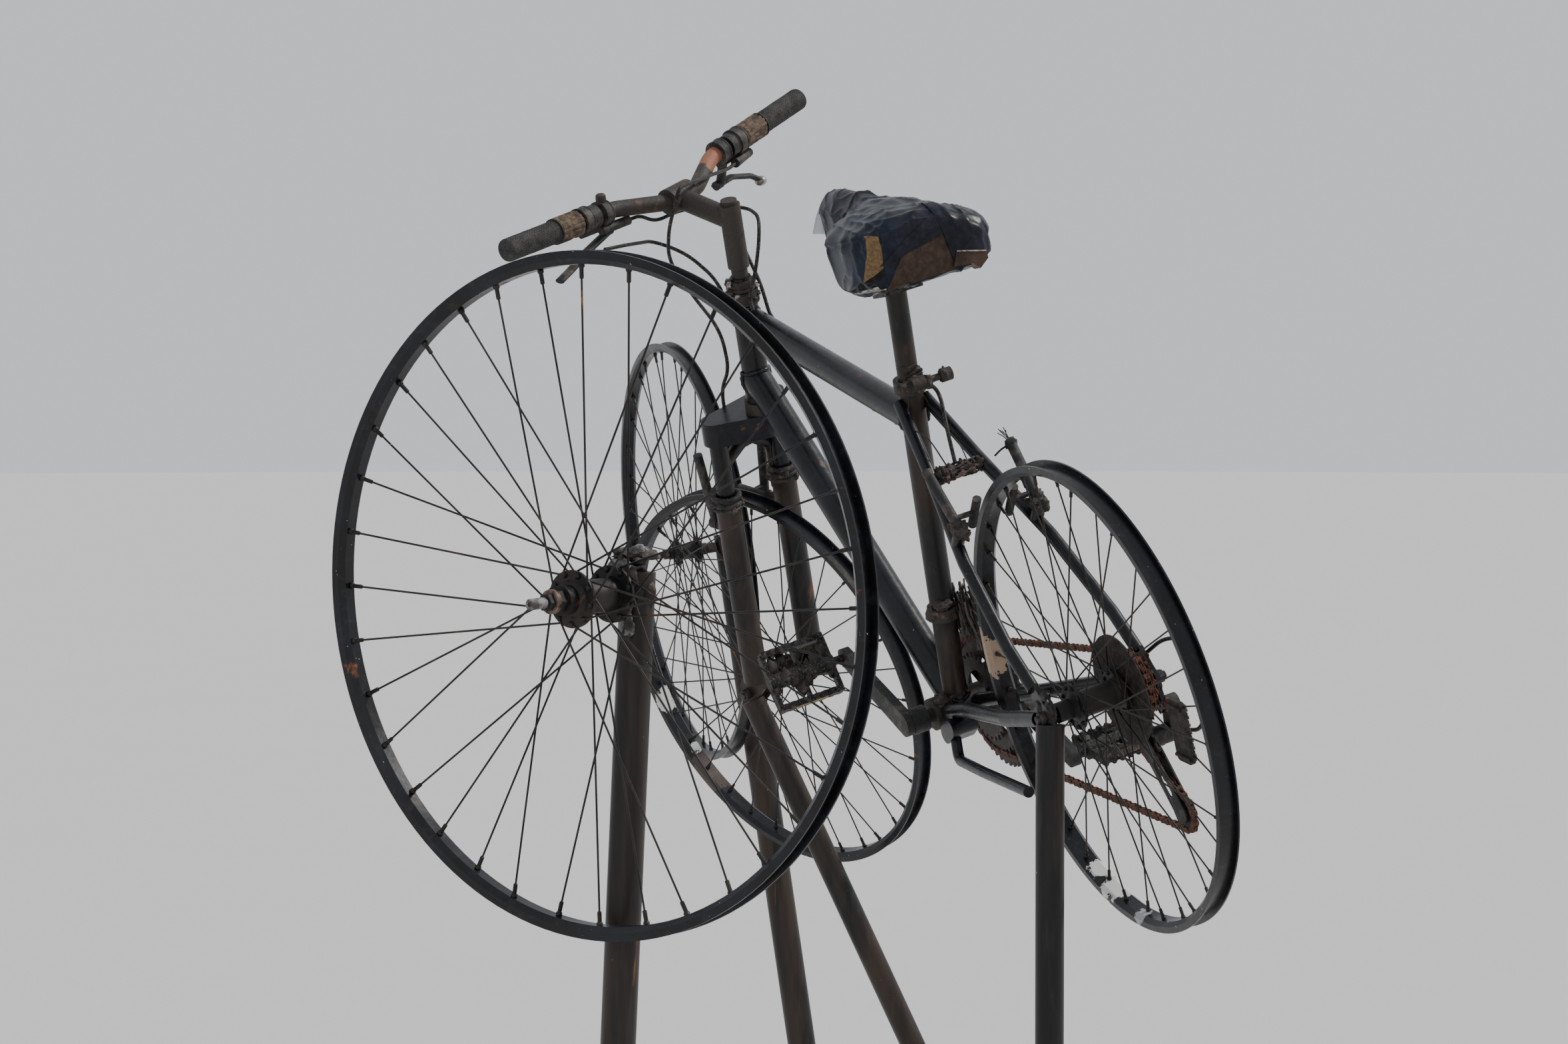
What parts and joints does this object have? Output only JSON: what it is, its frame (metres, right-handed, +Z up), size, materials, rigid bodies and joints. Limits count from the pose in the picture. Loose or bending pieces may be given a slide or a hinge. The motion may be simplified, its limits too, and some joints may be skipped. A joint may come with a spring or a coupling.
{
  "type": "bicycle lawn sculpture on posts",
  "caption": "Old derailleur bicycle without tyres held up on steel posts, with larger bare spoked wheels standing on posts of their own in front of and behind it.",
  "frame": {"origin": "foot of the rear post at ground level, straight below the bicycle's left rear dropout", "axes": "+X the way the bicycle heads, +Y to its left, +Z up from the ground"},
  "size_m": [2.8206, 1.4583, 1.9957],
  "materials": {
    "black_paint": "worn satin",
    "post_paint": "weathered satin",
    "rim_paint": "worn satin",
    "spoke_steel": "dull",
    "rusty_steel": "rusted",
    "dark_steel": "dull, rust-stained",
    "tan_plastic": "weathered",
    "black_rubber": "weathered",
    "black_plastic": "weathered",
    "smoked_plastic": "scratched",
    "saddle_wrap": "wrinkled",
    "cable_sheath": "weathered"
  },
  "bodies": {
    "stand_and_bicycle": {"bottom_bracket_shell": "black_paint", "brake_lever_left": "dark_steel", "brake_lever_right": "dark_steel", "cassette": "rusty_steel", "chain": "rusty_steel", "chain_stay_left": "black_paint", "chain_stay_right": "black_paint", "chainrings": "rusty_steel", "crankset": "dark_steel", "derailleur_cable": "cable_sheath", "down_tube": "black_paint", "far_wheel_axle": "dark_steel", "far_wheel_post": "post_paint", "fork_crown": "black_paint", "fork_lowers": "black_paint", "front_axle": "dark_steel", "front_brace": "post_paint", "front_brake_cable": "cable_sheath", "front_brake_left": "dark_steel", "front_brake_right": "dark_steel", "front_derailleur": "black_paint", "grip_left": "black_rubber", "grip_right": "black_rubber", "handlebar": "rusty_steel", "head_tube": "black_paint", "headset_lower": "rusty_steel", "headset_upper": "rusty_steel", "kickstand": "dark_steel", "near_wheel_axle": "dark_steel", "near_wheel_post": "post_paint", "pedal_left": "black_plastic", "pedal_right": "black_plastic", "rear_axle": "dark_steel", "rear_brake_cable": "cable_sheath", "rear_brake_left": "dark_steel", "rear_brake_loop": "cable_sheath", "rear_brake_right": "dark_steel", "rear_derailleur": "dark_steel", "rear_post": "post_paint", "saddle": "saddle_wrap", "saddle_clamp": "dark_steel", "seat_collar": "rusty_steel", "seat_post": "dark_steel", "seat_stays": "black_paint", "seat_tube": "post_paint", "shift_cables": "cable_sheath", "shifter_left": "tan_plastic", "shifter_right": "tan_plastic", "stem": "rusty_steel", "top_tube": "black_paint"},
    "near_wheel": {"near_wheel_rim": "rim_paint", "near_wheel_hub": "spoke_steel"},
    "far_wheel": {"far_wheel_rim": "rim_paint", "far_wheel_hub": "spoke_steel"},
    "front_wheel": {"front_wheel_rim": "rim_paint", "front_wheel_hub": "spoke_steel"},
    "rear_wheel": {"rear_wheel_rim": "rim_paint", "rear_wheel_hub": "spoke_steel", "spoke_protector": "smoked_plastic", "spoke_reflector": "tan_plastic"}
  },
  "joints": [
    {"name": "near_wheel_spin", "type": "hinge", "parent": "stand_and_bicycle", "child": "near_wheel", "pos_m": [-0.695, 0.772, 1.393], "axis": [-0.5383, 0.8418, -0.0401], "continuous": true},
    {"name": "far_wheel_spin", "type": "hinge", "parent": "stand_and_bicycle", "child": "far_wheel", "pos_m": [1.53, -0.076, 1.328], "axis": [0.0502, 0.9906, -0.1271], "continuous": true},
    {"name": "front_wheel_spin", "type": "hinge", "parent": "stand_and_bicycle", "child": "front_wheel", "pos_m": [1.05551, -0.04658, 1.17155], "axis": [-0.3295, 0.8654, -0.3774], "continuous": true},
    {"name": "rear_wheel_spin", "type": "hinge", "parent": "stand_and_bicycle", "child": "rear_wheel", "pos_m": [0.00082, -0.06462, 1.22249], "axis": [-0.0121, 0.9573, -0.2888], "continuous": true}
  ]
}
